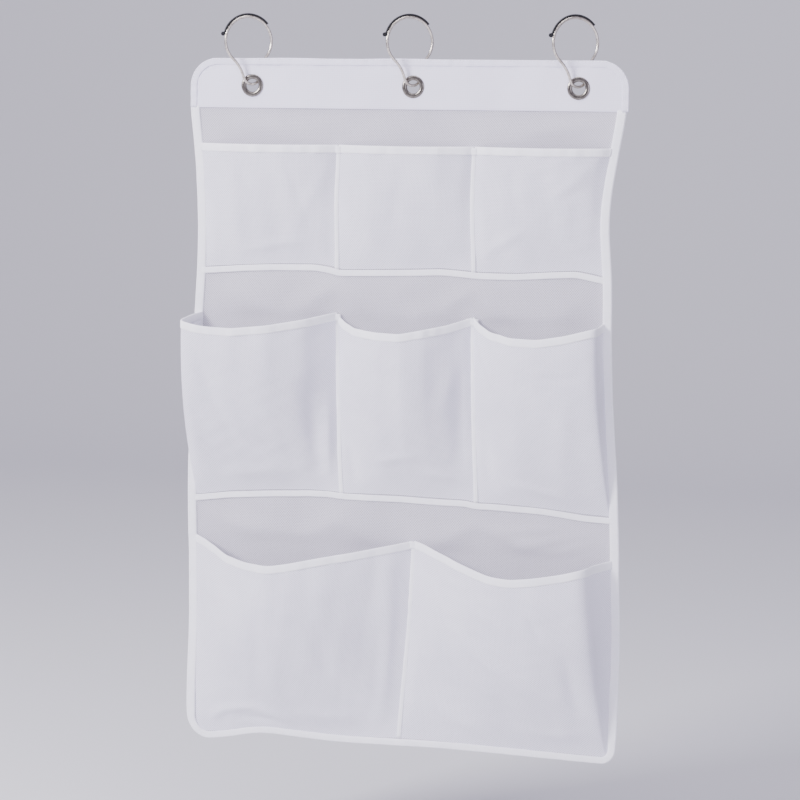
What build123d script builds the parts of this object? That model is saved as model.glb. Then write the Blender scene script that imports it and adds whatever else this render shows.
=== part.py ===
from build123d import *
import math
import os

# Hanging pocket organizer: a mesh panel with a cloth header, hung from three wire rings,
# with two rows of three pockets and a bottom row of two. Millimetres, +Z up, front towards -Y.
# The origin is the centre of the panel's flat rear face.

# panel
panel_width = 476.0
panel_height = 750.0
top_corner_radius = 30.0
bottom_corner_radius = 16.0
inner_corner_radius = 0.5  # where the side and bottom tapes meet
waist_inset = 12.0  # how far each side edge is drawn in beside the two upper rows
waist_share = 0.2667  # of the panel's height, from the top edge down to the narrowest place
waist_end_share = 0.6907  # and down to where the sides are full width again
mesh_thickness = 0.8
tape_thickness = 1.2  # one leg of folded binding tape
side_binding_width = 10.0
bottom_binding_width = 8.0

# header band
header_height = 53.0
header_ply = 1.2  # each of the two cloth layers
hem_width = 7.5
hem_thickness = 0.5

# eyelets
eyelet_spacing = 177.0
eyelet_shift = 8.0  # the middle eyelet stands this far right of the centre line
eyelet_drop = 29.0  # from the top edge to the hole's centre
eyelet_hole_radius = 7.0
eyelet_outer_radius = 12.0
eyelet_wall = 0.8
eyelet_stand = 1.0  # how far the rolled flange stands off the cloth
washer_radius = 11.0
washer_thickness = 0.8

# pockets: rows are counted from the top
row_top_share = [0.1227, 0.3627, 0.6933]  # of the panel's height, down to each row's mouth
row_seam_share = [0.3, 0.632]  # and down to the two upper rows' bottom seams
row_columns = [3, 3, 2]
divider_shift = [[0.0, 7.0], [1.0, 7.0], [3.0]]  # how far each divider stands right of an even split
mouth_depth = [[13.0, 13.0, 13.0], [44.0, 34.0, 36.0], [42.0, 44.0]]
mouth_sag = [0.0, 16.0, 24.0]  # how far the rim's middle hangs below its ends
front_bulge = [2.0, 10.0, 12.0]  # how far the front bows out from its straight line
cloth_thickness = 0.8
rim_width = 9.0
rim_thickness = 0.8
seam_tape_width = 8.0
divider_width = 7.0
divider_thickness = 1.0
last_row_lift = 0.5  # between the last row's bottom and the bottom binding
pocket_clearance = 0.6  # between a pocket's cloth and the strips beside it
hinge_clearance = 1.2  # between a pocket's lower edge and the seam tape under it
layer_gap = 0.3  # between a moving layer and the panel behind it
tack_height = 7.0
tack_thickness = 0.8

# hanging rings
ring_wire_radius = 1.5
ring_height = 72.0  # between wire centres, lowest to highest point
ring_loop_radius = 26.0
ring_foot_radius = 9.5
ring_neck_radius = 40.0  # of the hollow flanks between the foot and the loop
ring_rest = 4.1  # from the top of the eyelet's hole down to the top of the wire's lowest point
ring_turn = 35.0  # degrees from the panel's plane, left side in front
ring_lean = 6.0  # degrees to the left
guard_radius = 1.1
guard_start = 160.0  # degrees round the loop from the right, counter-clockwise
guard_end = 35.0
guard_catch_radius = 2.2
flange_rounding = 0.45  # of the flange's thickness
past = 100.0  # how far cutting shapes reach past what they cut

half_width = panel_width / 2
half_height = panel_height / 2
front_of_mesh = -mesh_thickness
header_front = -2 * header_ply
waist_drop = panel_height * waist_share
waist_end_drop = panel_height * waist_end_share
row_top_drop = [panel_height * share for share in row_top_share]
row_bottom_drop = [panel_height * share for share in row_seam_share]
row_bottom_drop.append(panel_height - bottom_binding_width - last_row_lift)
ring_seat = eyelet_hole_radius - ring_rest - ring_wire_radius  # the wire's foot above the hole's centre


def height_at(drop):
    return half_height - drop


def panel_face(inset, bottom_inset):
    """The panel's outline as a face in the XZ plane, drawn in by the given insets."""
    side = half_width - inset
    waist = side - waist_inset
    top = half_height - inset
    bottom = -half_height + bottom_inset
    top_radius = max(top_corner_radius - inset, 1.0)
    bottom_radius = bottom_corner_radius if inset == 0 else inner_corner_radius
    shoulder = height_at(header_height)
    waist_z = height_at(waist_drop)
    waist_end = height_at(waist_end_drop)
    with BuildSketch(Plane.XZ) as sketch:
        with BuildLine():
            Line((0, top), (side - top_radius, top))
            TangentArc((side - top_radius, top), (side, top - top_radius), tangent=(1, 0))
            Line((side, top - top_radius), (side, shoulder))
            TangentArc((waist, waist_z), (side, shoulder), tangent=(0, 1))
            TangentArc((waist, waist_z), (side, waist_end), tangent=(0, -1))
            Line((side, waist_end), (side, bottom + bottom_radius))
            TangentArc((side - bottom_radius, bottom), (side, bottom + bottom_radius), tangent=(1, 0))
            Line((side - bottom_radius, bottom), (0, bottom))
            mirror(about=Plane.YZ)
        make_face()
    return sketch.sketch


def slab(face, front, back):
    """A face of the XZ plane made solid between two depths, front being the smaller y."""
    return extrude(face.moved(Location((0, back, 0))), amount=back - front, dir=(0, -1, 0))


def block(x0, x1, y0, y1, z0, z1):
    """A box between two corners."""
    size = (x1 - x0, y1 - y0, z1 - z0)
    return Pos((x0 + x1) / 2, (y0 + y1) / 2, (z0 + z1) / 2) * Box(*size)


def save(shape, name):
    shape.label = name
    export_step(shape, f"parts/{name}.step")


def eyelet_places():
    names = ["left", "centre", "right"]
    return [(name, eyelet_shift + (i - 1) * eyelet_spacing) for i, name in enumerate(names)]


def make_header():
    """Two cloth layers across the top, with a hole for each eyelet."""
    outline = panel_face(0, bottom_binding_width)
    band = block(-panel_width, panel_width, -past, past, height_at(header_height), half_height)
    for name, front in (("back", -header_ply), ("front", header_front)):
        layer = slab(outline, front, front + header_ply) & band
        for _, x in eyelet_places():
            hole = Cylinder(eyelet_hole_radius + eyelet_wall, past, rotation=(90, 0, 0))
            layer -= Pos(x, 0, height_at(eyelet_drop)) * hole
        save(layer, f"header_{name}")


def make_mesh():
    """The bare mesh between the header and the bottom binding."""
    inner = panel_face(side_binding_width, bottom_binding_width)
    below = block(-panel_width, panel_width, -past, past, -half_height, height_at(header_height))
    save(slab(inner, front_of_mesh, 0) & below, "back_mesh")


def make_bindings():
    """Folded tape round the edge: one piece up each side and one along the bottom."""
    ring = panel_face(0, 0) - panel_face(side_binding_width, bottom_binding_width)
    tape = slab(ring, -2 * tape_thickness, 0)
    bottom_top = -half_height + bottom_binding_width
    for name, x0, x1 in (("left", -panel_width, 0.0), ("right", 0.0, panel_width)):
        side = block(x0, x1, -past, past, bottom_top, height_at(header_height))
        save(tape & side, f"binding_{name}")
    low = block(-panel_width, panel_width, -past, past, -panel_height, bottom_top)
    save(tape & low, "binding_bottom")


def make_header_hem():
    """The tape stitched over the header's top edge, split into one strip on the front."""
    ring = panel_face(0, 0) - panel_face(hem_width, 0)
    top = block(-panel_width, panel_width, -past, past, height_at(header_height), half_height)
    save(slab(ring, header_front - hem_thickness, header_front) & top, "header_hem")


def make_eyelets():
    """A flanged barrel from the front and the washer it is set in behind, in each hole."""
    barrel_outer = eyelet_hole_radius + eyelet_wall
    for name, x in eyelet_places():
        place = Pos(x, 0, height_at(eyelet_drop)) * Rot(X=90)
        # after the turn, the cylinder's axis points to the front
        length = 2 * header_ply + washer_thickness
        tube = Pos(0, 0, length / 2 - washer_thickness) * Cylinder(barrel_outer, length)
        flange = Pos(0, 0, 2 * header_ply + eyelet_stand / 2) * Cylinder(eyelet_outer_radius, eyelet_stand)
        front = tube + flange
        front -= Cylinder(eyelet_hole_radius, past)
        outer_edges = front.edges().filter_by(GeomType.CIRCLE).group_by(Axis.Z)[-1]
        front = fillet(outer_edges, eyelet_stand * flange_rounding)
        save(place * front, f"eyelet_{name}")
        washer = Cylinder(washer_radius, washer_thickness) - Cylinder(barrel_outer, washer_thickness)
        save(place * Pos(0, 0, -washer_thickness / 2) * washer, f"eyelet_washer_{name}")


def pocket_span(row, column):
    """Left and right ends of a pocket between the bindings and the divider strips."""
    inner = row_reach(row)
    dividers = divider_places(row)
    left = -inner if column == 0 else dividers[column - 1] + divider_width / 2
    right = inner if column == len(dividers) else dividers[column] - divider_width / 2
    return left + pocket_clearance, right - pocket_clearance


def row_reach(row):
    waist = waist_inset if row < 2 else 0.0
    return half_width - waist - side_binding_width


def divider_places(row):
    pitch = 2 * row_reach(row) / row_columns[row]
    return [-row_reach(row) + (i + 1) * pitch + shift for i, shift in enumerate(divider_shift[row])]


def make_dividers():
    """Strips sewn down the panel between neighbouring pockets, and the tacks at their tops."""
    tacks = []
    for row in range(3):
        top = height_at(row_top_drop[row])
        bottom = height_at(row_bottom_drop[row])
        for number, x in enumerate(divider_places(row), start=1):
            half = divider_width / 2
            back = front_of_mesh
            strip = block(x - half, x + half, back - divider_thickness, back, bottom, top)
            save(strip, f"divider_row{row + 1}_{number}")
            front = back - divider_thickness
            low = top - tack_height
            tacks.append(block(x - half, x + half, front - tack_thickness, front, low, top))
    save(Compound(children=tacks), "bar_tacks")


def make_seam_tapes():
    """Tapes over the bottom seams of the two upper rows."""
    for row in range(2):
        top = height_at(row_bottom_drop[row])
        reach = row_reach(row)
        tape = block(-reach, reach, front_of_mesh - tape_thickness, front_of_mesh, top - seam_tape_width, top)
        save(tape, f"seam_tape_row{row + 1}")


def front_profile(row, depth, offset):
    """The arc from a pocket's bottom seam out to its mouth, in the YZ plane, and its ends."""
    seam_y = front_of_mesh - layer_gap - offset
    seam_z = height_at(row_bottom_drop[row]) + hinge_clearance
    mouth_y = front_of_mesh - depth - offset
    mouth_z = height_at(row_top_drop[row])
    middle = ((seam_y + mouth_y) / 2 - front_bulge[row], (seam_z + mouth_z) / 2)
    return (seam_y, seam_z), middle, (mouth_y, mouth_z)


def front_slab(row, depth, left, right, near, far):
    """The curved slab across a pocket's front between two offsets from its inner arc."""
    inner_low, inner_mid, inner_high = front_profile(row, depth, near)
    outer_low, outer_mid, outer_high = front_profile(row, depth, far)
    with BuildSketch(Plane.YZ) as sketch:
        with BuildLine():
            ThreePointArc(inner_low, inner_mid, inner_high)
            Line(inner_high, outer_high)
            ThreePointArc(outer_high, outer_mid, outer_low)
            Line(outer_low, inner_low)
        make_face()
    face = sketch.sketch.moved(Location((left, 0, 0)))
    return extrude(face, amount=right - left, dir=(1, 0, 0))


def side_wall(row, depth, x0, x1):
    """One gusset: the cloth that closes a pocket's side, from the panel to the front."""
    low, mid, high = front_profile(row, depth, 0)
    back_y = front_of_mesh - layer_gap
    with BuildSketch(Plane.YZ) as sketch:
        with BuildLine():
            ThreePointArc(low, mid, high)
            Line(high, (back_y, high[1]))
            Line((back_y, high[1]), low)
        make_face()
    face = sketch.sketch.moved(Location((x0, 0, 0)))
    return extrude(face, amount=x1 - x0, dir=(1, 0, 0))


def mouth_cutter(row, left, right, drop):
    """A tall block whose lower face sags as the rim does, used to cut cloth off above it."""
    top = height_at(row_top_drop[row]) - drop
    middle = (left + right) / 2
    with BuildSketch(Plane.XZ) as sketch:
        with BuildLine():
            if mouth_sag[row] > 0:
                ThreePointArc((left, top), (middle, top - mouth_sag[row]), (right, top))
            else:
                Line((left, top), (right, top))
            Line((right, top), (right, top + past))
            Line((right, top + past), (left, top + past))
            Line((left, top + past), (left, top))
        make_face()
    return extrude(sketch.sketch.moved(Location((0, past, 0))), amount=2 * past, dir=(0, -1, 0))


def make_pocket(row, column):
    """A pocket's front, its two gussets, and the tape round its mouth."""
    name = f"pocket_{row + 1}{column + 1}"
    depth = mouth_depth[row][column]
    left, right = pocket_span(row, column)
    above_mouth = mouth_cutter(row, left, right, 0)
    above_rim_foot = mouth_cutter(row, left, right, rim_width)
    save(front_slab(row, depth, left, right, 0, cloth_thickness) - above_mouth, f"{name}_front")
    sides = [
        side_wall(row, depth, left, left + cloth_thickness),
        side_wall(row, depth, right - cloth_thickness, right),
    ]
    save(Compound(children=sides), f"{name}_gussets")
    outside = cloth_thickness + rim_thickness
    rim = front_slab(row, depth, left, right, cloth_thickness, outside)
    save((rim & above_rim_foot) - above_mouth, f"{name}_rim")


def ring_points():
    """Points where the ring's outline changes: a small foot arc, hollow flanks and a large loop."""
    centre_gap = ring_height - ring_foot_radius - ring_loop_radius
    near = ring_foot_radius + ring_neck_radius
    far = ring_loop_radius + ring_neck_radius
    # the flank's centre is as far from the foot's and the loop's centres as touching circles are
    flank_z = (centre_gap**2 + near**2 - far**2) / (2 * centre_gap)
    centre = Vector(math.sqrt(near**2 - flank_z**2), flank_z)
    foot = centre * (ring_foot_radius / near)
    loop = Vector(0, centre_gap) + (centre - Vector(0, centre_gap)) * (ring_loop_radius / far)
    flank = centre + ((foot + loop) / 2 - centre).normalized() * ring_neck_radius
    return (foot.X, foot.Y), (flank.X, flank.Y), (loop.X, loop.Y), centre_gap


def ring_place(x):
    """Where a ring's foot arc has its centre, turned and leant as it hangs."""
    foot_centre = height_at(eyelet_drop) + ring_seat + ring_foot_radius
    low_point = Pos(0, 0, ring_foot_radius)
    seat = Pos(x, header_front / 2, foot_centre - ring_foot_radius)
    return seat * Rot(Z=ring_turn) * Rot(Y=-ring_lean) * low_point


def make_ring(name, x):
    """A pear-shaped wire ring through an eyelet, with a dark guard along its top."""
    (foot_x, foot_z), (flank_x, flank_z), (loop_x, loop_z), gap = ring_points()
    with BuildPart() as wire:
        with BuildLine(Plane.XZ) as path:
            ThreePointArc((foot_x, foot_z), (flank_x, flank_z), (loop_x, loop_z))
            ThreePointArc((loop_x, loop_z), (0, gap + ring_loop_radius), (-loop_x, loop_z))
            ThreePointArc((-loop_x, loop_z), (-flank_x, flank_z), (-foot_x, foot_z))
            ThreePointArc((-foot_x, foot_z), (0, -ring_foot_radius), (foot_x, foot_z))
        start = path.line.edges()[0]
        with BuildSketch(Plane(origin=start @ 0, z_dir=start % 0)):
            Circle(ring_wire_radius)
        sweep(path=path.line, transition=Transition.RIGHT)
    place = ring_place(x)
    save(place * wire.part, f"ring_{name}")
    guard_path_radius = ring_loop_radius + ring_wire_radius + guard_radius
    with BuildPart() as guard:
        with BuildLine(Plane.XZ) as arc:
            CenterArc((0, gap), guard_path_radius, guard_end, guard_start - guard_end)
        with BuildSketch(Plane(origin=arc.line @ 0, z_dir=arc.line % 0)):
            Circle(guard_radius)
        sweep(path=arc.line)
    angle = math.radians(guard_start)
    catch_radius = guard_path_radius + guard_catch_radius - guard_radius
    catch_at = Pos(catch_radius * math.cos(angle), 0, gap + catch_radius * math.sin(angle))
    solid = guard.part + catch_at * Cylinder(guard_catch_radius, 2 * guard_radius, rotation=(90, 0, 0))
    save(place * solid, f"ring_{name}_guard")


def main():
    os.makedirs("parts", exist_ok=True)
    make_mesh()
    make_header()
    make_header_hem()
    make_bindings()
    make_eyelets()
    make_seam_tapes()
    make_dividers()
    for row in range(3):
        for column in range(row_columns[row]):
            make_pocket(row, column)
    for name, x in eyelet_places():
        make_ring(name, x)


main()
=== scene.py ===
import math

import bpy
import numpy as np
from mathutils import Matrix, Vector


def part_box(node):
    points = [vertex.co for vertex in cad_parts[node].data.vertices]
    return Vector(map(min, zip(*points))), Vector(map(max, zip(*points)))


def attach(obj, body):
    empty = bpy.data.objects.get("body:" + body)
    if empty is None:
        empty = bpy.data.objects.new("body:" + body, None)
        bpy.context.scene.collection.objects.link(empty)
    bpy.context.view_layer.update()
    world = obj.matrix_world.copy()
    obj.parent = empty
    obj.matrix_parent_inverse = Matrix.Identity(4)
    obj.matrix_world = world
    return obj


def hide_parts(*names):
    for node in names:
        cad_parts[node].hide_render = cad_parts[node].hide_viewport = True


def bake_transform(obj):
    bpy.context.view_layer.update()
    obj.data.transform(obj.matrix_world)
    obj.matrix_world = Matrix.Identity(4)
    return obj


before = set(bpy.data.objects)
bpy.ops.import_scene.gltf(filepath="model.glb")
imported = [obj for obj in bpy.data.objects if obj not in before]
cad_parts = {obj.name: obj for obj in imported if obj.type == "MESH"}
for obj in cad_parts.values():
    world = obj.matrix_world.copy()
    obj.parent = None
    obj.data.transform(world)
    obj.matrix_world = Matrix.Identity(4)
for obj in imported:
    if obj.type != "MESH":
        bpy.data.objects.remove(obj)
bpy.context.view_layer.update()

mm = 0.001


def hexColour(code):
    # sRGB hex to the linear colour that shaders take
    channels = [int(code[i:i + 2], 16) / 255 for i in (1, 3, 5)]
    linear = [c / 12.92 if c <= 0.04045 else ((c + 0.055) / 1.055) ** 2.4 for c in channels]
    return (*linear, 1.0)


def addNode(tree, kind, inputs=None, **settings):
    new = tree.nodes.new(kind)
    for name, value in settings.items():
        setattr(new, name, value)
    for socket, value in (inputs or {}).items():
        if isinstance(value, bpy.types.NodeSocket):
            tree.links.new(value, new.inputs[socket])
        else:
            new.inputs[socket].default_value = value
    return new


def startMaterial(name):
    material = bpy.data.materials.new(name)
    material.use_nodes = True
    tree = material.node_tree
    tree.nodes.clear()
    return material, tree


def finishMaterial(tree, shader):
    addNode(tree, "ShaderNodeOutputMaterial", {"Surface": shader.outputs[0]})


def tintedNoise(tree, vector, patch, low, high):
    # a slow change of colour between two shades, in patches of about the given size
    noise = addNode(tree, "ShaderNodeTexNoise", {"Vector": vector, "Scale": 1 / patch, "Detail": 3.0})
    spread = addNode(tree, "ShaderNodeMapRange", {"Value": noise.outputs["Fac"], "From Min": 0.35, "From Max": 0.65})
    return addNode(tree, "ShaderNodeMix", {
        "Factor": spread.outputs["Result"], "A": hexColour(low), "B": hexColour(high)}, data_type="RGBA")


def makeMeshCloth(name, look):
    # warp-knit polyester mesh: matt white threads round small open holes, so what is behind shows faintly
    softEdge = 0.08  # how gradually a hole's edge closes, as a share of the spacing
    material, tree = startMaterial(name)
    cloth = addNode(tree, "ShaderNodeUVMap", uv_map="cloth")
    turned = addNode(tree, "ShaderNodeMapping", {
        "Vector": cloth.outputs["UV"], "Rotation": (0, 0, math.radians(45)),
        "Scale": (1 / look["holePitch"], 1 / look["holePitch"], 1)})
    holes = addNode(tree, "ShaderNodeTexVoronoi", {
        "Vector": turned.outputs["Vector"], "Scale": 1.0, "Randomness": 0.12}, voronoi_dimensions="2D")
    solid = addNode(tree, "ShaderNodeMapRange", {
        "Value": holes.outputs["Distance"], "From Min": look["holeRadius"] - softEdge,
        "From Max": look["holeRadius"] + softEdge, "To Min": look["holeCover"], "To Max": 1.0})
    colour = tintedNoise(tree, cloth.outputs["UV"], look["patch"], look["shade"], look["light"])
    darker = addNode(tree, "ShaderNodeMix", {
        "Factor": solid.outputs["Result"], "A": hexColour(look["hole"]), "B": colour.outputs["Result"]},
        data_type="RGBA")
    bump = addNode(tree, "ShaderNodeBump", {
        "Strength": 0.35, "Distance": 0.4 * mm, "Height": solid.outputs["Result"]})
    shader = addNode(tree, "ShaderNodeBsdfPrincipled", {
        "Base Color": darker.outputs["Result"], "Roughness": 0.8, "Sheen Weight": 0.2, "Sheen Roughness": 0.5,
        "Alpha": solid.outputs["Result"], "Normal": bump.outputs["Normal"]})
    finishMaterial(tree, shader)
    return material


def makeWovenCloth(name, look):
    # plain-woven polyester: fine over-and-under threads, matt, with faint slubs
    material, tree = startMaterial(name)
    cloth = addNode(tree, "ShaderNodeUVMap", uv_map="cloth")
    wave = {"Vector": cloth.outputs["UV"], "Scale": math.tau / 20 / look["threads"], "Distortion": 0.4, "Detail": 1.0}
    warp = addNode(tree, "ShaderNodeTexWave", wave, bands_direction="X")
    weft = addNode(tree, "ShaderNodeTexWave", wave, bands_direction="Y")
    threads = addNode(tree, "ShaderNodeMath", {0: warp.outputs["Fac"], 1: weft.outputs["Fac"]}, operation="MULTIPLY")
    colour = tintedNoise(tree, cloth.outputs["UV"], look["patch"], look["shade"], look["light"])
    shaded = addNode(tree, "ShaderNodeMix", {
        "Factor": threads.outputs[0], "A": colour.outputs["Result"], "B": hexColour(look["thread"])},
        data_type="RGBA")
    rough = addNode(tree, "ShaderNodeMapRange", {"Value": threads.outputs[0], "To Min": 0.7, "To Max": 0.85})
    bump = addNode(tree, "ShaderNodeBump", {
        "Strength": look["bump"], "Distance": 0.3 * mm, "Height": threads.outputs[0]})
    shader = addNode(tree, "ShaderNodeBsdfPrincipled", {
        "Base Color": shaded.outputs["Result"], "Roughness": rough.outputs["Result"], "Sheen Weight": 0.15,
        "Normal": bump.outputs["Normal"]})
    finishMaterial(tree, shader)
    return material


def makeNickelPlate(name, look):
    # nickel-plated steel: mirror-like plate, its gloss dulled by handling and fine scratches through roughness and bump
    material, tree = startMaterial(name)
    place = addNode(tree, "ShaderNodeTexCoord")
    smear = addNode(tree, "ShaderNodeTexNoise", {
        "Vector": place.outputs["Object"], "Scale": 1 / look["smear"], "Detail": 4.0})
    rough = addNode(tree, "ShaderNodeMapRange", {
        "Value": smear.outputs["Fac"], "To Min": look["roughLow"], "To Max": look["roughHigh"]})
    colour = tintedNoise(tree, place.outputs["Object"], look["patch"], look["shade"], look["light"])
    bump = addNode(tree, "ShaderNodeBump", {"Strength": 0.15, "Distance": 0.1 * mm, "Height": smear.outputs["Fac"]})
    shader = addNode(tree, "ShaderNodeBsdfPrincipled", {
        "Base Color": colour.outputs["Result"], "Metallic": 1.0, "Roughness": rough.outputs["Result"],
        "Normal": bump.outputs["Normal"]})
    finishMaterial(tree, shader)
    return material


def makeMouldedBlack(name, look):
    # black nylon sleeve: slightly glossy with a fine moulded grain
    material, tree = startMaterial(name)
    place = addNode(tree, "ShaderNodeTexCoord")
    grain = addNode(tree, "ShaderNodeTexNoise", {
        "Vector": place.outputs["Object"], "Scale": 1 / look["grain"], "Detail": 2.0})
    colour = tintedNoise(tree, place.outputs["Object"], look["patch"], look["shade"], look["light"])
    rough = addNode(tree, "ShaderNodeMapRange", {"Value": grain.outputs["Fac"], "To Min": 0.35, "To Max": 0.55})
    bump = addNode(tree, "ShaderNodeBump", {"Strength": 0.2, "Distance": 0.1 * mm, "Height": grain.outputs["Fac"]})
    shader = addNode(tree, "ShaderNodeBsdfPrincipled", {
        "Base Color": colour.outputs["Result"], "Roughness": rough.outputs["Result"], "Normal": bump.outputs["Normal"]})
    finishMaterial(tree, shader)
    return material


# the knit's holes are about 1 mm apart; they are drawn 1.9 mm apart so that they still show
# the bare back mesh gets darker, greyer colours than the same knit on the pockets: painted shade of the dim room seen
# through its single layer
backKnitPaintedShade = makeMeshCloth("warpKnitBackPaintedShade", {
    "holePitch": 1.9 * mm, "holeRadius": 0.30, "holeCover": 0.6, "patch": 71.4 * mm,
    "light": "#CFCBD6", "shade": "#C7C3CE", "hole": "#B6B2BD"})
pocketKnit = makeMeshCloth("warpKnitPocket", {
    "holePitch": 1.9 * mm, "holeRadius": 0.28, "holeCover": 0.7, "patch": 71.4 * mm,
    "light": "#ECEAF6", "shade": "#E3E1EE", "hole": "#D2D0DC"})
# the weaves' threads are about 0.4 mm apart; they too are drawn coarser so that they show
headerWeave = makeWovenCloth("wovenPolyester", {
    "threads": 1.963 * mm, "patch": 111 * mm, "light": "#ECE9FA", "shade": "#E3E0F2", "thread": "#F0EDFC",
    "bump": 0.25})
tapeWeave = makeWovenCloth("bindingTape", {
    "threads": 1.428 * mm, "patch": 33.3 * mm, "light": "#FAF9FF", "shade": "#F3F2FB", "thread": "#FFFFFF",
    "bump": 0.35})
sewingThread = makeWovenCloth("spunThread", {
    "threads": 0.628 * mm, "patch": 16.7 * mm, "light": "#FFFFFF", "shade": "#EDEDF2", "thread": "#FFFFFF",
    "bump": 0.4})
# the eyelets get dark brown-grey colours in place of bright nickel: a painted dark reflection of the room
eyeletPlateDarkReflection = makeNickelPlate("nickelPlatedEyeletDarkReflection", {
    "light": "#918C85", "shade": "#6F6A64", "roughLow": 0.16, "roughHigh": 0.34, "smear": 5.56 * mm,
    "patch": 3.85 * mm})
ringPlate = makeNickelPlate("nickelPlatedWire", {
    "light": "#DDD6CC", "shade": "#BDB5AA", "roughLow": 0.18, "roughHigh": 0.38, "smear": 5.56 * mm,
    "patch": 3.85 * mm})
guardNylon = makeMouldedBlack("blackNylon", {
    "light": "#17171A", "shade": "#0B0B0D", "grain": 1.11 * mm, "patch": 3.33 * mm})
print("materials made")


headerLow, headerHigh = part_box("header_front")
rightTapeLow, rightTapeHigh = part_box("binding_right")
bottomTapeLow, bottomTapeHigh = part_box("binding_bottom")
halfWidth = headerHigh[0]
topZ = headerHigh[2]
headerFoot = headerLow[2]
bottomZ = bottomTapeLow[2]
headerCorner = 30 * mm  # radius of the header's two upper corners
headerMiddleY = -1.3 * mm  # the middle of the doubled header, front to back
sewnY = -2.0 * mm  # the middle of a tape sewn flat on the panel
tapeWidth = 10 * mm
bottomTape = bottomTapeHigh[2] - bottomTapeLow[2]
waistInset = rightTapeHigh[0] - rightTapeLow[0] - tapeWidth

hang = {
    # how the cloth hangs out of true: distances in mm, at shares of the height from the top
    "shares": (0, 0.07, 0.13, 0.21, 0.25, 0.31, 0.36, 0.47, 0.60, 0.70, 0.82, 0.94, 1.0),
    "leftShift": (0, 0, -0.7, -3.2, -3.6, -4.5, -6.5, -7.0, -6.0, -1.0, -0.5, -3.5, -2.0),
    "rightShift": (0, -2.0, -4.0, -7.0, -4.8, -0.5, -1.5, -1.3, 1.5, 0.5, 4.0, 3.0, 2.0),
    "tilt": (0, 0, 0, 0, 0.3, 0.8, 1.0, 2.0, 3.0, 2.0, 0.5, 0, 0),  # drop at the right edge, rise at the left
    # the bottom edge's lift, at shares of the half width
    "liftAt": (-1, -0.93, -0.86, -0.78, -0.65, -0.46, -0.27, 0.2, 0.57, 0.94, 1),
    "lift": (0, -1.0, -0.2, 4.0, 10.8, 7.8, 5.2, 5.9, 3.0, 0, 0),
    "liftReach": 80 * mm,
    # how the two seams under the upper rows wander: drop at shares of the half width, fading over seamReach
    "seams": {
        1: ((-1, 2.6), (-0.91, 1.5), (-0.73, -1.7), (-0.61, -3.2), (-0.55, -3.6), (-0.40, -4.4), (-0.32, -1.6),
            (-0.29, 1.2), (-0.18, 0.4), (-0.06, -0.8), (0.08, -2.1), (0.18, -3.2), (0.28, -1.6), (0.35, -0.2),
            (0.52, -0.2), (0.69, -3.1), (0.79, -4.5), (0.86, -1.6), (0.94, 2.5), (1, 3.1)),
        2: ((-1, 6.6), (-0.94, 5.7), (-0.85, 2.2), (-0.79, -0.1), (-0.60, -3.5), (-0.42, -5.8), (-0.33, -5.6),
            (-0.26, -4.1), (-0.14, -4.7), (-0.01, -5.1), (0.15, -4.3), (0.30, -4.0), (0.35, -1.7), (0.44, -2.0),
            (0.57, -0.7), (0.67, 0.7), (0.77, 2.9), (0.85, 4.8), (0.94, 5.5), (1, 6.1)),
    },
    "seamReach": 30 * mm,
    "waistZ": topZ - 200 * mm,  # where the panel is narrowest
    "waistEndZ": topZ - 518 * mm,  # where it is back to its full width
    "clothWave": 1.2 * mm,
}
bottomCorners = {-1: 26 * mm, 1: 16 * mm}  # how far each lower corner is rounded: left, right


def softInterp(at, knots, values, soft):
    # a table read with its bends rounded off
    return sum(np.interp(at + soft * k, knots, values) for k in (-1, -0.5, 0, 0.5, 1)) / 5


def sideEdge(z):
    # the panel's half width, narrowest beside the two upper rows
    z = np.asarray(z, float)
    above = (z - hang["waistZ"]) / (headerFoot - hang["waistZ"])
    below = (hang["waistZ"] - z) / (hang["waistZ"] - hang["waistEndZ"])
    t = np.where(z > hang["waistZ"], above, below)
    return halfWidth - waistInset * np.clip(1 - t * t, 0, 1) ** 1.3


def hung(x, z):
    # where a place on the flat panel is once the cloth hangs
    share = (topZ - np.asarray(z, float)) / (topZ - bottomZ)
    left = softInterp(share, hang["shares"], hang["leftShift"], 0.03)
    right = softInterp(share, hang["shares"], hang["rightShift"], 0.03)
    across = (x / sideEdge(z) + 1) / 2
    drop = np.interp(share, hang["shares"], hang["tilt"]) * x / halfWidth
    lift = softInterp(x / halfWidth, hang["liftAt"], hang["lift"], 0.06)
    rise = lift * np.clip(1 - (z - bottomZ) / hang["liftReach"], 0, 1) ** 1.5
    for row, table in hang["seams"].items():
        low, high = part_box(f"seam_tape_row{row}")
        near = np.exp(-((z - (low[2] + high[2]) / 2) / hang["seamReach"]) ** 2)
        drop = drop + softInterp(x / halfWidth, *zip(*table), 0.02) * near
    return x + (left + (right - left) * across) * mm, z + (rise - drop) * mm


def ripple(u, v, seed, waves, longest, shortest):
    # a gentle uneven surface: a seeded sum of sine waves, about 1 high
    rng = np.random.default_rng(seed)
    total = np.zeros(np.broadcast(u, v).shape)
    for _ in range(waves):
        angle = rng.uniform(0, math.tau)
        length = rng.uniform(shortest, longest)
        phase = rng.uniform(0, math.tau)
        total = total + np.sin((u * math.cos(angle) + v * math.sin(angle)) * math.tau / length + phase)
    return total / math.sqrt(waves)


def meshObject(name, points, faces, uvs, materials, faceMaterials=None):
    mesh = bpy.data.meshes.new(name)
    mesh.from_pydata([tuple(p) for p in points], [], faces)
    layer = mesh.uv_layers.new(name="cloth")
    for loop in mesh.loops:
        layer.data[loop.index].uv = uvs[loop.vertex_index]
    for material in materials:
        mesh.materials.append(material)
    if faceMaterials is not None:
        mesh.polygons.foreach_set("material_index", faceMaterials)
    mesh.polygons.foreach_set("use_smooth", [True] * len(mesh.polygons))
    mesh.validate()
    piece = bpy.data.objects.new(name, mesh)
    bpy.context.scene.collection.objects.link(piece)
    return piece


def gridFaces(rows, columns):
    corners = [i * columns + j for i in range(rows - 1) for j in range(columns - 1)]
    return [(a, a + 1, a + columns + 1, a + columns) for a in corners]


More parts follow.
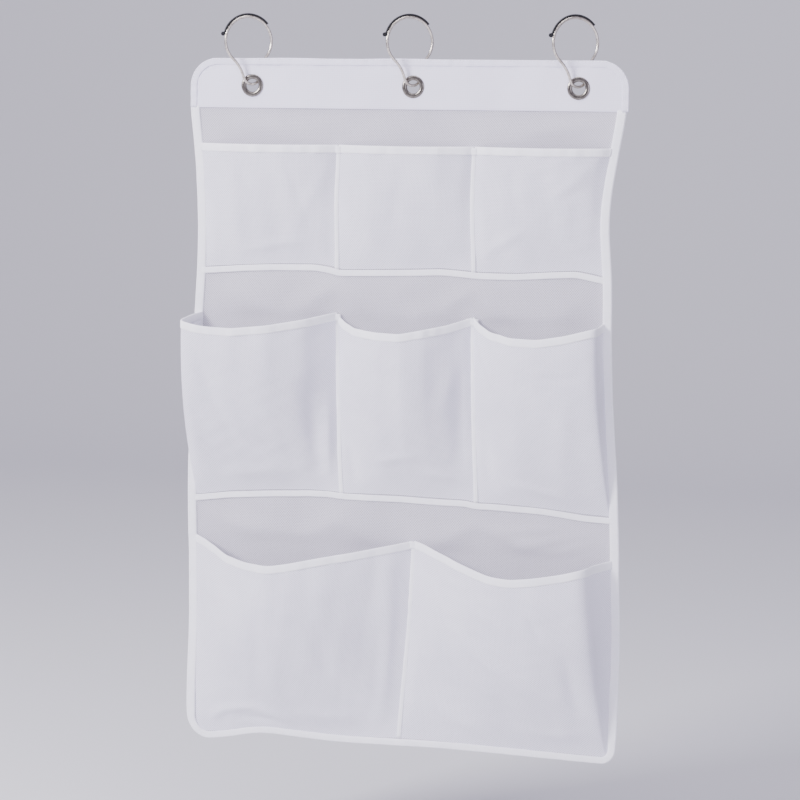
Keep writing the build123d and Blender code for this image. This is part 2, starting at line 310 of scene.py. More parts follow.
def gridNormals(grid):
    # the side that faces the front when columns run to the right and rows run up
    across = np.gradient(grid, axis=1)
    up = np.gradient(grid, axis=0)
    normal = np.cross(across, up)
    return normal / np.maximum(np.linalg.norm(normal, axis=2, keepdims=True), 1e-12)


def sheetPiece(name, grid, uvs, material):
    return meshObject(name, grid.reshape(-1, 3), gridFaces(*grid.shape[:2]), uvs.reshape(-1, 2), [material])


def selectOnly(*pieces):
    bpy.ops.object.select_all(action="DESELECT")
    for piece in pieces:
        piece.select_set(True)
    bpy.context.view_layer.objects.active = pieces[0]


def joinPieces(pieces):
    selectOnly(*pieces)
    bpy.ops.object.join()
    return bpy.context.object


def applyModifier(piece, kind, **settings):
    selectOnly(piece)
    modifier = piece.modifiers.new(kind.lower(), kind)
    for name, value in settings.items():
        setattr(modifier, name, value)
    bpy.ops.object.modifier_apply(modifier=modifier.name)


def tapeProfile(width, thickness):
    # a folded tape's cross-section: round at both edges, a little fuller in the middle
    half = width / 2
    edge = thickness * 0.5
    across = [-half, -half + edge * 0.3, -half + edge, -half * 0.35, half * 0.35, half - edge, half - edge * 0.3, half]
    height = [0, 0.32, 0.45, 0.5, 0.5, 0.45, 0.32, 0]
    front = [(a, h * thickness) for a, h in zip(across, height)]
    back = [(a, -h * thickness) for a, h in zip(across[-2:0:-1], height[-2:0:-1])]
    return front + back


def tapePiece(name, middle, across, normals, width, thickness, material, seed, stitch=None, pucker=0.25 * mm):
    middle, across, normals = (np.asarray(v, float) for v in (middle, across, normals))
    count = len(middle)
    run = np.r_[0, np.cumsum(np.linalg.norm(np.diff(middle, axis=0), axis=1))]
    profile = tapeProfile(width, thickness)
    size = len(profile)
    lift = ripple(run, np.zeros(count), seed, 5, 30 * mm, 7 * mm) * pucker
    points, uvs = [], []
    for i in range(count):
        for a, b in profile:
            points.append(middle[i] + across[i] * a + normals[i] * (b + lift[i] * (1 if b >= 0 else 0.5)))
            uvs.append((run[i], a))
    faces = []
    for i in range(count - 1):
        for k in range(size):
            a, b = i * size + k, i * size + (k + 1) % size
            faces.append((b, a, a + size, b + size))
    faces.append(tuple(range(size)))
    faces.append(tuple((count - 1) * size + k for k in range(size))[::-1])
    faceMaterials = [0] * len(faces)
    if stitch:
        addStitches(points, uvs, faces, faceMaterials, middle, across, normals, run, lift, thickness, stitch)
    # which way round the faces point outwards depends on how across and normal stand to the run
    if np.dot(np.cross(across[0], normals[0]), middle[1] - middle[0]) < 0:
        faces = [face[::-1] for face in faces]
    return meshObject(name, points, faces, uvs, [material, sewingThread], faceMaterials)


def addStitches(points, uvs, faces, faceMaterials, middle, across, normals, run, lift, thickness, stitch):
    # one short thread loop after another, just above the tape's face: five rings of six points each
    pitch, radius = stitch["pitch"], stitch["radius"]
    for offset in stitch["offsets"]:
        start = pitch * 0.5
        while start + pitch * 0.7 < run[-1]:
            ring = []
            for part in range(5):
                along = start + pitch * 0.7 * part / 4
                centre = [np.interp(along, run, middle[:, k]) for k in range(3)]
                side = np.array([np.interp(along, run, across[:, k]) for k in range(3)])
                out = np.array([np.interp(along, run, normals[:, k]) for k in range(3)])
                arch = math.sin(math.pi * part / 4)
                swell = radius * (0.35 + 0.65 * math.sqrt(arch))
                height = thickness * 0.47 + np.interp(along, run, lift) - radius * 0.6 + radius * 0.9 * arch
                centre = np.array(centre) + side * offset + out * height
                ring.append([centre + side * math.cos(t) * swell + out * math.sin(t) * swell
                             for t in (math.tau * k / 6 for k in range(6))])
            base = len(points)
            for section in ring:
                points.extend(section)
                uvs.extend([(start, offset)] * 6)
            for i in range(4):
                for k in range(6):
                    a, b = base + i * 6 + k, base + i * 6 + (k + 1) % 6
                    faces.append((a, b, b + 6, a + 6))
                    faceMaterials.append(1)
            faces.append(tuple(base + k for k in range(6))[::-1])
            faces.append(tuple(base + 24 + k for k in range(6)))
            faceMaterials.extend([1, 1])
            start += pitch


panelFolds = [
    # soft folds in the bare mesh: from x, z to x, z, then half width and height, in mm
    (-74, 132, -40, 106, 9, 3.2), (-74, 132, -112, 110, 10, 2.6), (-205, 130, -160, 108, 12, 3.0),
    (79, 130, 112, 100, 10, 3.4), (76, 130, 40, 110, 9, 2.6), (205, 128, 165, 104, 12, 2.8),
    (0, 128, 20, 104, 14, -2.0), (-140, 126, -120, 108, 12, -1.8),
    (-218, -122, -150, -146, 8, 3.0), (-200, -124, -110, -142, 8, 2.2), (-72, -122, -30, -142, 12, 2.8),
    (-60, -120, -110, -144, 11, 2.4), (84, -122, 40, -142, 11, 2.8), (84, -122, 150, -148, 9, 3.0),
    (215, -124, 130, -144, 6, 2.6), (218, -132, 150, -156, 5, 2.2), (190, -122, 100, -128, 5, 1.8),
    (-215, 312, -120, 298, 9, 1.8), (215, 314, 130, 298, 9, 2.0), (0, 312, 60, 296, 12, -1.4),
]


def foldLift(u, v, folds):
    # each fold is a soft ridge or hollow along a line, strongest in its middle
    total = np.zeros(u.shape)
    for u0, v0, u1, v1, wide, high in folds:
        along = np.clip(((u - u0) * (u1 - u0) + (v - v0) * (v1 - v0)) / ((u1 - u0) ** 2 + (v1 - v0) ** 2), 0, 1)
        away = np.hypot(u - u0 - along * (u1 - u0), v - v0 - along * (v1 - v0))
        total += high * np.exp(-(away / wide) ** 2) * (0.35 + 0.65 * np.sin(math.pi * along))
    return total


def bareShare(z):
    # 1 where the mesh hangs free, less where a row of pockets holds it flat
    share = np.ones_like(z)
    for row in (1, 2, 3):
        low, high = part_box(f"pocket_{row}1_front")
        share -= 0.9 * np.clip(np.minimum(z - low[2] + 14 * mm, high[2] - z) / (8 * mm), 0, 1)
    return share


def bindingDepth(x, z):
    # where the middle of the edge tape lies, front to back, as the cloth's edge waves a little
    return -1.7 * mm - 0.5 * mm * ripple(x, z, 41, 6, 220 * mm, 50 * mm)


def makeBackMesh():
    spec = {"step": 4 * mm, "foot": bottomZ + bottomTape * 0.4, "head": headerFoot + 3 * mm, "tuck": 4 * mm,
            "ease": 5 * mm, "restY": -0.5 * mm, "headerEase": 25 * mm}
    rows = int((spec["head"] - spec["foot"]) / spec["step"])
    columns = int(2 * halfWidth / spec["step"])
    z = np.linspace(spec["foot"], spec["head"], rows)[:, None]
    s = np.linspace(-1, 1, columns)[None, :]
    radius = np.where(s < 0, bottomCorners[-1], bottomCorners[1])
    below = np.clip(bottomZ + radius - z, 0, radius)
    edge = sideEdge(z) - spec["tuck"] - radius + np.sqrt(radius ** 2 - below ** 2)
    x, z2 = hung(s * edge, z)
    slack = (1 - np.abs(s) ** 4) * np.clip((spec["head"] - z) / spec["headerEase"], 0, 1) * bareShare(z)
    y = spec["restY"] - hang["clothWave"] * (1 + ripple(x, z2 * 0.4, 11, 6, 260 * mm, 70 * mm) * 0.5) * slack
    y = y - foldLift(x, z2, [[n * mm for n in fold] for fold in panelFolds]) * slack
    # the mesh's edges run inside the folded tape and the header
    inTape = np.maximum(np.abs(s) * edge - sideEdge(z) + tapeWidth, bottomZ + bottomTape - z) / spec["ease"] + 0.8
    inTape = np.clip(inTape, 0, 1)
    inHeader = np.clip((z - headerFoot) / spec["ease"] + 0.8, 0, 1)
    y = y + (bindingDepth(x, z2) - y) * inTape
    y = y + (headerMiddleY - y) * inHeader
    grid = np.dstack([x, y, z2])
    uvs = np.dstack([np.broadcast_to(s * halfWidth, x.shape), np.broadcast_to(z, x.shape)])
    piece = sheetPiece("meshPanel", grid, uvs, backKnitPaintedShade)
    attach(piece, "panel")
    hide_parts("back_mesh")


def eyeletPlaces():
    boxes = {side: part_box(f"eyelet_{side}") for side in ("left", "centre", "right")}
    return [(side, (low[0] + high[0]) / 2, (low[2] + high[2]) / 2) for side, (low, high) in boxes.items()]


def makeHeader():
    spec = {
        "step": 3 * mm, "thickness": 2.2 * mm, "hem": 7.5 * mm, "holeRadius": 7.6 * mm, "wave": 0.35 * mm,
        "topWave": 0.5 * mm, "pucker": 0.175 * mm, "puckerPitch": 11 * mm, "hemDip": 0.25 * mm, "edgeRound": 0.5 * mm,
    }
    rows = int((topZ - headerFoot) / spec["step"]) + 1
    columns = int(2 * halfWidth / spec["step"]) + 1
    z = np.linspace(headerFoot, topZ, rows)[:, None]
    s = np.linspace(-1, 1, columns)[None, :]
    rise = np.clip((z - (topZ - headerCorner)) / headerCorner, 0, 0.985)
    edge = halfWidth - headerCorner * (1 - np.sqrt(1 - rise ** 2))
    x = s * edge
    z2 = np.broadcast_to(z, x.shape).copy()
    z2 += ripple(x, z2, 5, 4, 200 * mm, 90 * mm) * spec["topWave"] * (z2 > topZ - 2 * mm)
    nearHem = np.exp(-((z2 - topZ + spec["hem"]) / (4 * mm)) ** 2)
    puckers = np.sin(x * math.tau / spec["puckerPitch"] + ripple(x, z2, 8, 4, 120 * mm, 50 * mm)) * nearHem
    loose = ripple(x, z2, 21, 7, 160 * mm, 35 * mm) * spec["wave"]
    y = headerMiddleY + puckers * spec["pucker"] + loose + spec["hemDip"] * nearHem
    piece = sheetPiece("headerBand", np.dstack([x, y, z2]), np.dstack([x, z2]), headerWeave)
    applyModifier(piece, "SOLIDIFY", thickness=spec["thickness"], offset=0)
    for _, holeX, holeZ in eyeletPlaces():
        bpy.ops.object.select_all(action="DESELECT")
        bpy.ops.mesh.primitive_cylinder_add(
            vertices=48, radius=spec["holeRadius"], depth=30 * mm, location=(holeX, 0, holeZ),
            rotation=(math.pi / 2, 0, 0))
        cutter = bpy.context.object
        applyModifier(piece, "BOOLEAN", object=cutter, operation="DIFFERENCE", solver="EXACT")
        bpy.data.objects.remove(cutter)
    piece.data.polygons.foreach_set("use_smooth", [True] * len(piece.data.polygons))
    applyModifier(piece, "BEVEL", width=spec["edgeRound"], segments=2, limit_method="ANGLE",
                  angle_limit=math.radians(50))
    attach(piece, "panel")
    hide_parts("header_front", "header_back")


def headerOutline(inset):
    # from the header's lower left corner, over the top, to its lower right corner
    side, top, bend = halfWidth - inset, topZ - inset, headerCorner - inset
    quarter = np.linspace(0, math.pi / 2, 14)[1:]
    points = [(-side, z) for z in np.linspace(headerFoot, top - bend, 10)]
    points += [(-side + bend - bend * math.cos(t), top - bend + bend * math.sin(t)) for t in quarter]
    points += [(x, top) for x in np.linspace(-side + bend, side - bend, 140)[1:]]
    points += [(side - bend + bend * math.sin(t), top - bend + bend * math.cos(t)) for t in quarter]
    points += [(side, z) for z in np.linspace(top - bend, headerFoot, 10)[1:]]
    return np.array(points)


def outlineFrames(flat, y):
    # places along a flat path, with the vector over the tape's width and the one out of its face
    middle = np.column_stack([flat[:, 0], np.full(len(flat), y), flat[:, 1]])
    run = np.gradient(middle, axis=0)
    run /= np.linalg.norm(run, axis=1, keepdims=True)
    normals = np.tile([0.0, -1.0, 0.0], (len(flat), 1))
    return middle, np.cross(normals, run), normals


def makeHeaderHem():
    spec = {"width": 7.0 * mm, "thickness": 1.1 * mm, "y": -2.55 * mm, "pucker": 0.3 * mm}
    stitch = {"pitch": 3.6 * mm, "radius": 0.32 * mm, "offsets": [2.6 * mm]}
    frames = outlineFrames(headerOutline(spec["width"] / 2), spec["y"])
    piece = tapePiece("headerHem", *frames, spec["width"], spec["thickness"], headerWeave, 31, stitch, spec["pucker"])
    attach(piece, "panel")
    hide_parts("header_hem")


def makeEdgeBinding():
    # one folded tape from the header's foot down the left side, along the bottom and up the right
    spec = {"width": tapeWidth, "thickness": 2.6 * mm, "bottomMiddle": 3.1 * mm, "bottomShare": 0.75}
    stitch = {"pitch": 3.6 * mm, "radius": 0.34 * mm, "offsets": [-3.4 * mm]}
    half = spec["width"] / 2
    edges = {}
    for side, radius in bottomCorners.items():
        heights = np.linspace(headerFoot + 1.5 * mm, bottomZ + radius, 170)
        edges[side] = [(side * (sideEdge(z) - half), z) for z in heights]
        edges[side] += [(side * (halfWidth - radius + (radius - half) * math.cos(t)),
                         bottomZ + radius - (radius - spec["bottomMiddle"]) * math.sin(t))
                        for t in np.linspace(0, math.pi / 2, 14)[1:]]
    along = np.linspace(edges[-1][-1][0], edges[1][-1][0], 120)[1:-1]
    flat = np.array(edges[-1] + [(x, bottomZ + spec["bottomMiddle"]) for x in along] + edges[1][::-1], float)
    middle, across, normals = outlineFrames(np.column_stack(hung(*flat.T)), 0)
    # less of the tape shows along the bottom than up the sides
    narrower = np.interp(flat[:, 1], (bottomZ + 8 * mm, bottomZ + 30 * mm), (spec["bottomShare"], 1))
    across = across * narrower[:, None]
    middle[:, 1] = bindingDepth(middle[:, 0], middle[:, 2])
    piece = tapePiece("edgeBinding", middle, across, normals, spec["width"], spec["thickness"], tapeWeave, 43, stitch)
    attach(piece, "panel")
    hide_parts("binding_left", "binding_right", "binding_bottom")


def strip(name, node, start, end, width, thickness, seed, offsets):
    # a flat tape sewn straight to the panel between two places, wandering a little
    spec = {"step": 3.5 * mm, "wander": 0.3 * mm}
    stitch = {"pitch": 3.4 * mm, "radius": 0.3 * mm, "offsets": offsets}
    count = max(8, int(math.dist(start, end) / spec["step"]))
    flat = np.column_stack(hung(*np.linspace(start, end, count).T))
    flat = flat + (ripple(flat[:, 0], flat[:, 1], seed, 4, 200 * mm, 60 * mm) * spec["wander"])[:, None]
    piece = tapePiece(name, *outlineFrames(flat, sewnY), width, thickness, tapeWeave, seed, stitch)
    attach(piece, "panel")
    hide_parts(node)


def makeSeamTapes():
    spec = {"width": 6.8 * mm, "thickness": 1.6 * mm, "stitchAt": 2.3 * mm}
    for row in (1, 2):
        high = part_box(f"seam_tape_row{row}")[1]
        middle = high[2] - spec["width"] / 2
        reach = sideEdge(middle) - tapeWidth * 0.6
        strip(f"seamTapeRow{row}", f"seam_tape_row{row}", (-reach, middle), (reach, middle), spec["width"],
              spec["thickness"], 50 + row, [-spec["stitchAt"], spec["stitchAt"]])


dividerLook = {
    "width": 4.6 * mm,
    "thickness": 1.3 * mm,
    # how far each leans to the right at its top and at its foot, in mm
    "leans": {"row1_1": (1, 2), "row1_2": (-1, 0), "row2_1": (3, 7), "row2_2": (0, 4), "row3_1": (12, -2)},
    # the patch at each one's top: its length and how far down it sits, in mm
    "tacks": {"row1_1": (5.5, 2.5), "row1_2": (5.5, 2.5), "row2_1": (8, 3), "row2_2": (13, 3.5), "row3_1": (7, 0)},
    "tackHeight": 7.5 * mm,
    "tackThickness": 1.4 * mm,
    "tackY": -3.4 * mm,
}


def dividerEnds(place):
    low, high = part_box(f"divider_{place}")
    middle = (low[0] + high[0]) / 2
    top, foot = dividerLook["leans"][place]
    return (middle + top * mm, high[2] - 2 * mm), (middle + foot * mm, low[2])


def makeDividers():
    for number, place in enumerate(dividerLook["leans"]):
        strip(f"dividerTape_{place}", f"divider_{place}", *dividerEnds(place), dividerLook["width"],
              dividerLook["thickness"], 60 + number, [0.0])


def makeTacks():
    # small reinforcing patches where the rims meet the divider tapes
    stitch = {"pitch": 1.6 * mm, "radius": 0.3 * mm, "offsets": [-2 * mm, 0.0, 2 * mm]}
    parts = []
    for number, (place, (length, drop)) in enumerate(dividerLook["tacks"].items()):
        x, z = dividerEnds(place)[0]
        along = np.linspace(x - length * mm / 2, x + length * mm / 2, 6)
        flat = np.column_stack(hung(along, np.full(6, z - drop * mm)))
        parts.append(tapePiece(f"tack{number}", *outlineFrames(flat, dividerLook["tackY"]), dividerLook["tackHeight"],
                               dividerLook["tackThickness"], tapeWeave, 90 + number, stitch))
    piece = joinPieces(parts)
    piece.name = "cornerTacks"
    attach(piece, "panel")
    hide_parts("bar_tacks")


shallowRim = [(0, 0, 0), (0.08, 0.45, 0.2), (0.25, 0.9, 0.5), (0.5, 1.0, 0.8), (0.75, 0.9, 0.5), (0.92, 0.45, 0.2),
              (1, 0, 0)]
pocketLooks = {
    # rim: places along the mouth as share of the width, share of the depth, and drop in mm
    # full: above 1 the pocket widens sooner on its way up; bow: how far the cloth bellies out, in mm
    # gusset: how many of the rim's first and last places lie beyond a box corner
    # square: how far down the box corners keep their place, 1 being hardly at all
    # folds: from share, share to share, share of the front, then half width and height in mm
    # tuck: how far the foot runs on under the bottom tape, in mm
    "pocket_11": {"rim": shallowRim, "full": 1.4, "bow": 2, "folds": [
        (0.05, 0.95, 0.45, 0.45, 7, 1.2), (0.62, 0.9, 0.78, 0.4, 6, -1.0), (0.3, 0.12, 0.75, 0.2, 6, 1.3),
        (0.95, 0.9, 0.7, 0.3, 8, 0.9)]},
    "pocket_12": {"rim": shallowRim, "full": 1.4, "bow": 2, "folds": [
        (0.05, 0.95, 0.5, 0.5, 8, 1.0), (0.5, 0.85, 0.42, 0.3, 8, -0.9), (0.95, 0.1, 0.6, 0.4, 7, 1.2)]},
    "pocket_13": {"rim": shallowRim, "full": 1.4, "bow": 2, "folds": [
        (0.95, 0.95, 0.55, 0.5, 8, 1.1), (0.3, 0.8, 0.4, 0.3, 7, -1.0), (0.05, 0.1, 0.4, 0.35, 7, 1.2)]},
    "pocket_21": {"rim": [
        (0, 0, 3), (-0.05, 0.5, 6), (-0.09, 0.97, 10), (0.0, 1.02, 13.5), (0.10, 1.04, 15.8), (0.30, 1.07, 17),
        (0.56, 1.0, 13), (0.81, 0.66, 6.5), (0.95, 0.2, 1.5), (1, 0, 0)],
        "gusset": (2, 0), "full": 1.4, "square": 1.8, "bow": 6, "folds": [
        (0.12, 0.92, 0.34, 0.3, 7, -1.6), (0.42, 0.35, 0.68, 0.18, 6, -1.8), (0.84, 0.62, 0.86, 0.12, 9, -5.0),
        (0.95, 0.5, 0.93, 0.1, 6, 3.0), (0.2, 0.1, 0.7, 0.12, 10, 2.0), (0.06, 0.5, 0.1, 0.1, 10, 1.6)]},
    "pocket_22": {"rim": [
        (0, 0, 3), (0.06, 0.2, 9.5), (0.15, 0.5, 15.6), (0.32, 0.85, 18.3), (0.51, 1.0, 19), (0.68, 0.85, 14.1),
        (0.83, 0.48, 9.7), (0.95, 0.16, 4), (1, 0, 1.5)], "full": 1.4, "bow": 8, "folds": [
        (0.04, 0.95, 0.3, 0.5, 8, 1.5), (0.97, 0.95, 0.75, 0.45, 9, 1.6), (0.9, 0.9, 0.9, 0.2, 8, -2.4),
        (0.3, 0.22, 0.6, 0.26, 6, 1.8), (0.62, 0.16, 0.92, 0.1, 6, 1.8), (0.08, 0.3, 0.12, 0.05, 7, -2.0)]},
    "pocket_23": {"rim": [
        (0, 0, 1), (0.06, 0.25, 8), (0.15, 0.52, 15), (0.33, 0.85, 20), (0.53, 1.0, 20.5), (0.74, 1.05, 15.3),
        (0.92, 1.0, 8.7), (0.975, 0.94, 6.8), (0.973, 0.55, 7.0), (0.98, 0.3, 6.4), (0.99, 0.1, 5.0), (1, 0, 3.6)],
        "gusset": (0, 4), "full": 1.7, "square": 5, "bow": 4,
        "folds": [
        (0.04, 0.95, 0.28, 0.6, 8, 1.4), (0.5, 0.78, 0.86, 0.76, 5, -1.2), (0.3, 0.12, 0.75, 0.06, 6, 1.8),
        (0.1, 0.5, 0.12, 0.1, 8, -1.8), (0.72, 0.6, 0.66, 0.2, 10, 1.4)]},
    "pocket_31": {"rim": [
        (0, 0, 2), (0.045, 0.22, 4), (0.09, 0.38, 8.2), (0.17, 0.66, 18.5), (0.27, 0.86, 24.7), (0.375, 1.0, 26.8),
        (0.46, 1.0, 23.5), (0.61, 0.86, 15.7), (0.76, 0.6, 9.4), (0.91, 0.27, 2.3), (1, 0, -2)],
        "full": 1.5, "bow": 9, "tuck": 3, "folds": [
        (0.08, 0.07, 0.17, 0.13, 6, 3.2), (0.16, 0.13, 0.31, 0.135, 6, 3.2), (0.30, 0.13, 0.52, 0.04, 7, 3.6),
        (0.24, 0.07, 0.42, 0.04, 5, -4.0),
        (0.62, 0.6, 0.7, 0.25, 12, -3.0), (0.8, 0.78, 0.86, 0.3, 14, -2.5), (0.9, 0.9, 0.93, 0.1, 8, 2.5),
        (0.3, 0.8, 0.24, 0.4, 12, 2.0), (0.5, 0.1, 0.85, 0.1, 10, 2.5)]},
    "pocket_32": {"rim": [
        (0, 0, -2), (0.05, 0.2, -1), (0.16, 0.46, 7.7), (0.30, 0.75, 18.2), (0.41, 0.93, 25.3), (0.52, 1.03, 27.6),
        (0.64, 1.06, 24.3), (0.77, 1.03, 19.5), (0.87, 0.97, 14), (0.90, 0.88, 12.5), (0.915, 0.55, 11.9),
        (0.95, 0.25, 11.0), (1, 0, 9.5)], "gusset": (0, 3), "full": 1.5, "bow": 9, "tuck": 3, "folds": [
        (0.28, 0.62, 0.75, 0.3, 9, 3.0), (0.3, 0.35, 0.62, 0.14, 14, -3.0), (0.1, 0.85, 0.2, 0.5, 10, 1.6),
        (0.84, 0.55, 0.88, 0.25, 9, -3.0), (0.66, 0.8, 0.72, 0.66, 6, -2.0), (0.15, 0.2, 0.4, 0.08, 12, 2.5),
        (0.6, 0.12, 0.9, 0.1, 8, 1.8), (0.05, 0.5, 0.04, 0.1, 8, 2.0)]},
}


def seamLine(name, side, z):
    # the upright seam at one side of a pocket, on the hanging panel
    row, column = int(name[-2]), int(name[-1])
    last = max(int(n[-1]) for n in pocketLooks if n[-2] == name[-2])
    if (column == 1 and side < 0) or (column == last and side > 0):
        return hung(side * (sideEdge(z) - tapeWidth * 0.85), z)[0]
    (topX, top), (footX, foot) = dividerEnds(f"row{row}_{column if side > 0 else column - 1}")
    x = footX + (topX - footX) * (z - foot) / (top - foot) - side * dividerLook["width"] * 0.15
    return hung(x, z)[0]


clothSpec = {
    "across": 121,  # points along the rim
    "up": 80,  # points from the foot to the rim
    "seamY": -1.5 * mm,
    "rimSmoothing": 10,
    "sideEase": 4 * mm,  # how soon the rim leaves the side seam
    "drape": 0.5 * mm,  # height of the slow waves
    "crinkle": 0.16 * mm,  # height of the small ones
}
rimSpec = {"width": 9 * mm, "thickness": 2.0 * mm, "overEdge": 0.8 * mm, "frontY": -2.2 * mm, "pucker": 0.35 * mm}
rimStitch = {"pitch": 3.4 * mm, "radius": 0.32 * mm, "offsets": [3.0 * mm]}


def seamShares(steps, before, after):
    # where each place of the rim table meets the foot and the side seams, as a share of the pocket's width;
    # a box corner's gusset narrows to nothing at the seam, so its places take up almost none of it
    seam = np.r_[0, np.cumsum(np.maximum(steps[:, 0], 0) + 0.02)]
    last = len(seam) - after
    seam[:before] *= 0.1
    seam[last:] = seam[-1] - (seam[-1] - seam[last:]) * 0.1
    start, end = seam[before], seam[last - 1]
    newStart, newEnd = (0.015 * seam[-1] if before else start), (0.985 * seam[-1] if after else end)
    seam[before:last] = newStart + (seam[before:last] - start) / (end - start) * (newEnd - newStart)
    seam = np.maximum.accumulate(seam)
    return seam / seam[-1]


def pocketGrid(name, look):
    low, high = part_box(f"{name}_front")
    foot, head, depth = low[2] - look.get("tuck", 0) * mm, high[2], -low[1]
    width, height = seamLine(name, 1, head) - seamLine(name, -1, head), head - foot
    table = np.array(look["rim"], float) * (1, 1, mm)
    steps = np.diff(table, axis=0)
    run = np.r_[0, np.cumsum(np.hypot(steps[:, 0] * width, steps[:, 1] * depth))]
    table = np.column_stack([table, seamShares(steps, *look.get("gusset", (0, 0)))])
    at = np.linspace(0, run[-1], clothSpec["across"])
    rim = np.column_stack([np.interp(at, run, column) for column in table.T])
    for _ in range(clothSpec["rimSmoothing"]):
        rim[1:-1] = (rim[:-2] + 2 * rim[1:-1] + rim[2:]) / 4
    aside, out, rimZ, s = rim[:, 0], rim[:, 1][None, :], head - rim[:, 2], rim[:, 3][None, :]
    t = np.linspace(0, 1, clothSpec["up"])[:, None]
    footX = seamLine(name, -1, foot) + s * (seamLine(name, 1, foot) - seamLine(name, -1, foot))
    footZ = hung(footX, foot)[1]
    z = footZ + t * (rimZ[None, :] - footZ)
    left, right = seamLine(name, -1, z), seamLine(name, 1, z)
    rimLeft, rimRight = seamLine(name, -1, rimZ), seamLine(name, 1, rimZ)
    aside = seamLine(name, -1, head) + aside * width - rimLeft - s * (rimRight - rimLeft)
    ends = np.minimum(np.minimum(at, at[-1] - at) / clothSpec["sideEase"], 1)[None, :]
    x = left + s * (right - left) + aside * ends * (1 - (1 - t) ** look.get("square", look["full"]))
    y = clothSpec["seamY"] - (depth + clothSpec["seamY"]) * (1 - (1 - t) ** look["full"]) * out
    y = y - look["bow"] * mm * np.clip(out, 0, 1) * np.sin(math.pi * t) ** 1.2
    grid = np.dstack([x, y, z])
    u, v = np.broadcast_arrays(s * width, t * height)
    folds = [(a * width, b * height, c * width, d * height, e * mm, f * mm) for a, b, c, d, e, f in look["folds"]]
    seed = int(name[-2:])
    fade = np.minimum(t * 8, 1) * np.minimum(np.minimum(s, 1 - s) * 14, 1) * np.minimum((1 - t) * 10 + 0.35, 1)
    drape = ripple(u, v * 0.3, seed, 6, 70 * mm, 24 * mm) * clothSpec["drape"]
    crinkle = ripple(u, v, seed + 7, 8, 34 * mm, 14 * mm) * clothSpec["crinkle"]
    lift = (foldLift(u, v, folds) + drape + crinkle) * fade
    grid = grid + gridNormals(grid) * lift[:, :, None]
    return grid, np.dstack([np.broadcast_to(at - at[-1] / 2, x.shape), v])


def makePocket(name, look):
    grid, uvs = pocketGrid(name, look)
    cloth = sheetPiece(f"{name}_cloth", grid, uvs, pocketKnit)
    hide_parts(f"{name}_front", f"{name}_gussets")
    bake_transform(cloth)
    down = grid[-4] - grid[-1]
    down /= np.linalg.norm(down, axis=1, keepdims=True)
    middle = grid[-1] + down * (rimSpec["width"] / 2 - rimSpec["overEdge"])
    middle[:, 1] = np.minimum(middle[:, 1], rimSpec["frontY"])
    tape = tapePiece(f"{name}_rimTape", middle, down, gridNormals(grid)[-1], rimSpec["width"], rimSpec["thickness"],
                     tapeWeave, int(name[-2:]) + 200, rimStitch, rimSpec["pucker"])
    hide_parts(f"{name}_rim")
    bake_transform(tape)


def spunRing(name, x, z, look):
    # a rolled metal ring: an oval section spun round the hole's axis
    y, radius, halfAcross, halfThick = (look[key] for key in ("y", "radius", "halfAcross", "halfThick"))
    bpy.ops.object.select_all(action="DESELECT")
    bpy.ops.mesh.primitive_circle_add(vertices=14, radius=1.0, location=(x + radius, y, z))
    piece = bpy.context.object
    piece.name = name
    bpy.ops.object.mode_set(mode="EDIT")
    bpy.ops.mesh.select_all(action="SELECT")
    bpy.ops.transform.resize(value=(halfAcross, halfThick, 1.0), center_override=(x + radius, y, z))
    bpy.ops.mesh.spin(steps=48, angle=math.tau, center=(x, y, z), axis=(0, 1, 0))
    bpy.ops.mesh.select_all(action="SELECT")
    bpy.ops.mesh.remove_doubles(threshold=1e-6)
    bpy.ops.mesh.normals_make_consistent(inside=False)
    bpy.ops.object.mode_set(mode="OBJECT")
    bpy.ops.object.transform_apply(location=True, rotation=True, scale=True)
    piece.data.polygons.foreach_set("use_smooth", [True] * len(piece.data.polygons))
    return piece


def makeEyelets():
    spec = {
        "lip": {"y": -2.9 * mm, "radius": 9.6 * mm, "halfAcross": 2.5 * mm, "halfThick": 1.1 * mm},
        "barrel": {"y": -1.3 * mm, "radius": 7.35 * mm, "halfAcross": 0.42 * mm, "halfThick": 2.0 * mm},
        "washer": {"y": 0.35 * mm, "radius": 9.3 * mm, "halfAcross": 1.7 * mm, "halfThick": 0.6 * mm},
    }
    for side, x, z in eyeletPlaces():
        lip = joinPieces([spunRing(f"eyeletLip_{side}", x, z, spec["lip"]),
                          spunRing(f"barrel_{side}", x, z, spec["barrel"])])
        washer = spunRing(f"eyeletBack_{side}", x, z, spec["washer"])
        for piece, node in ((lip, f"eyelet_{side}"), (washer, f"eyelet_washer_{side}")):
            piece.data.materials.clear()
            piece.data.materials.append(eyeletPlateDarkReflection)
            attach(piece, "panel")
            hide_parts(node)


def dressRings():
    for side, _, _ in eyeletPlaces():
        for node, material in ((f"ring_{side}", ringPlate), (f"ring_{side}_guard", guardNylon)):
            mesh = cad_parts[node].data
            mesh.materials.clear()
            mesh.materials.append(material)


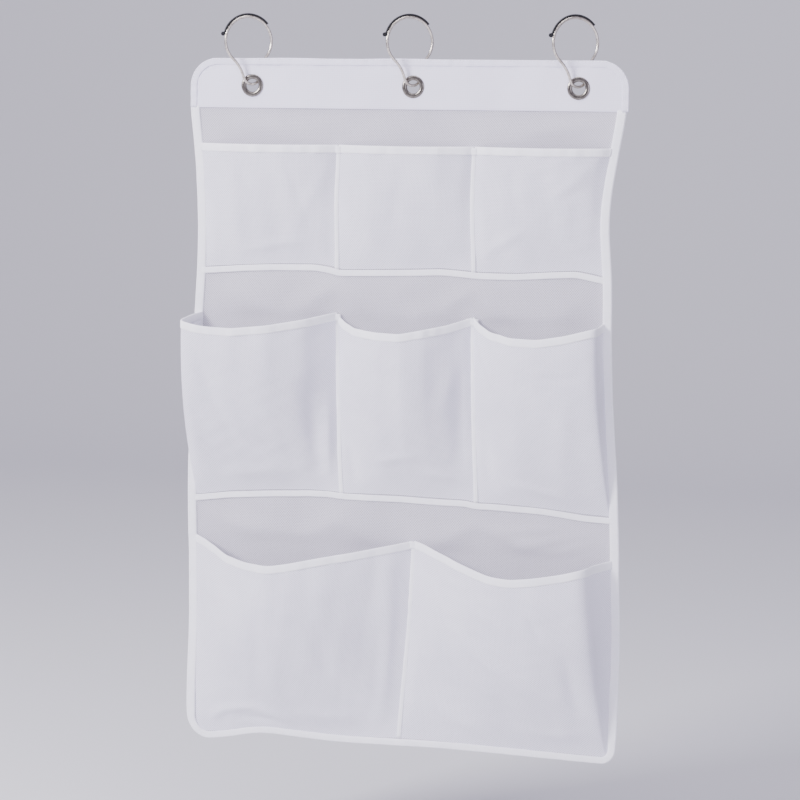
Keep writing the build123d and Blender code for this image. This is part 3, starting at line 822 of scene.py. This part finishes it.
def makeStage():
    # a floor that bends up into a back wall
    spec = {"floorZ": bottomZ - 120 * mm, "front": -5.0, "back": 4.4, "side": 8.0, "rise": 5.0, "bend": 1.6,
            "colour": "#E6E6E9", "roughness": 0.9}
    profile = [(spec["front"], spec["floorZ"])]
    profile += [(spec["back"] - spec["bend"] * (1 - math.sin(t)), spec["floorZ"] + spec["bend"] * (1 - math.cos(t)))
                for t in np.linspace(0, math.pi / 2, 13)]
    profile.append((spec["back"], spec["floorZ"] + spec["rise"]))
    points = [(x, y, z) for y, z in profile for x in (-spec["side"], spec["side"])]
    faces = [(2 * k, 2 * k + 1, 2 * k + 3, 2 * k + 2) for k in range(len(profile) - 1)]
    material, tree = startMaterial("paintedBackdrop")
    shader = addNode(tree, "ShaderNodeBsdfPrincipled", {
        "Base Color": hexColour(spec["colour"]), "Roughness": spec["roughness"]})
    finishMaterial(tree, shader)
    floor = meshObject("studioFloor", points, faces, [(0, 0)] * len(points), [material])


studioLight = {
    # each softbox: place, what it points at, width and height in metres, watts, colour
    "keySoftbox": ((-2.0, -2.1, 1.4), (0, 0, 0.05), (1.0, 1.0), 168, "#FBF9FF"),
    "fillSoftbox": ((1.7, -2.4, 0.3), (0, 0, 0), (1.5, 1.8), 28, "#EFEDFF"),
    "topSoftbox": ((0.0, -0.5, 2.0), (0, 0, 0), (1.6, 1.0), 30, "#F8F6FF"),
}
roomLight = {"Color": hexColour("#DDD7EF"), "Strength": 0.72}


def makeLights():
    for name, (place, target, size, power, colour) in studioLight.items():
        data = bpy.data.lights.new(name, "AREA")
        data.shape = "RECTANGLE"
        data.size, data.size_y = size
        data.energy = power
        data.color = hexColour(colour)[:3]
        lamp = bpy.data.objects.new(name, data)
        lamp.location = place
        lamp.rotation_euler = (Vector(target) - Vector(place)).to_track_quat("-Z", "Y").to_euler()
        bpy.context.scene.collection.objects.link(lamp)
    world = bpy.data.worlds.new("studio")
    world.use_nodes = True
    for socket, value in roomLight.items():
        world.node_tree.nodes["Background"].inputs[socket].default_value = value
    bpy.context.scene.world = world


def makeCamera():
    look = {"azimuth": math.radians(12.0), "above": math.radians(6.5), "roll": math.radians(0.72),
            "place": (0.542, -2.562, 0.309), "sensor": 36.0, "lens": 109.89}
    ca, sa = math.cos(look["azimuth"]), math.sin(look["azimuth"])
    ce, se = math.cos(look["above"]), math.sin(look["above"])
    back = Vector((sa * ce, -ca * ce, se))
    right = Vector((ca, sa, 0))
    up = back.cross(right)
    cr, sr = math.cos(look["roll"]), math.sin(look["roll"])
    right, up = cr * right + sr * up, -sr * right + cr * up
    data = bpy.data.cameras.new("camera")
    data.sensor_width = look["sensor"]
    data.lens = look["lens"]
    data.clip_start = 0.05
    camera = bpy.data.objects.new("camera", data)
    turn = Matrix((right, up, back)).transposed().to_4x4()
    camera.matrix_world = Matrix.Translation(look["place"]) @ turn
    bpy.context.scene.collection.objects.link(camera)
    bpy.context.scene.camera = camera


makeStage()
makeLights()
makeCamera()
print("studio set")
makeBackMesh()
makeHeader()
makeHeaderHem()
makeEdgeBinding()
makeSeamTapes()
makeDividers()
makeTacks()
print("panel made")
for pocketName, pocketLook in pocketLooks.items():
    makePocket(pocketName, pocketLook)
print("pockets made")
makeEyelets()
dressRings()
print("metal made")
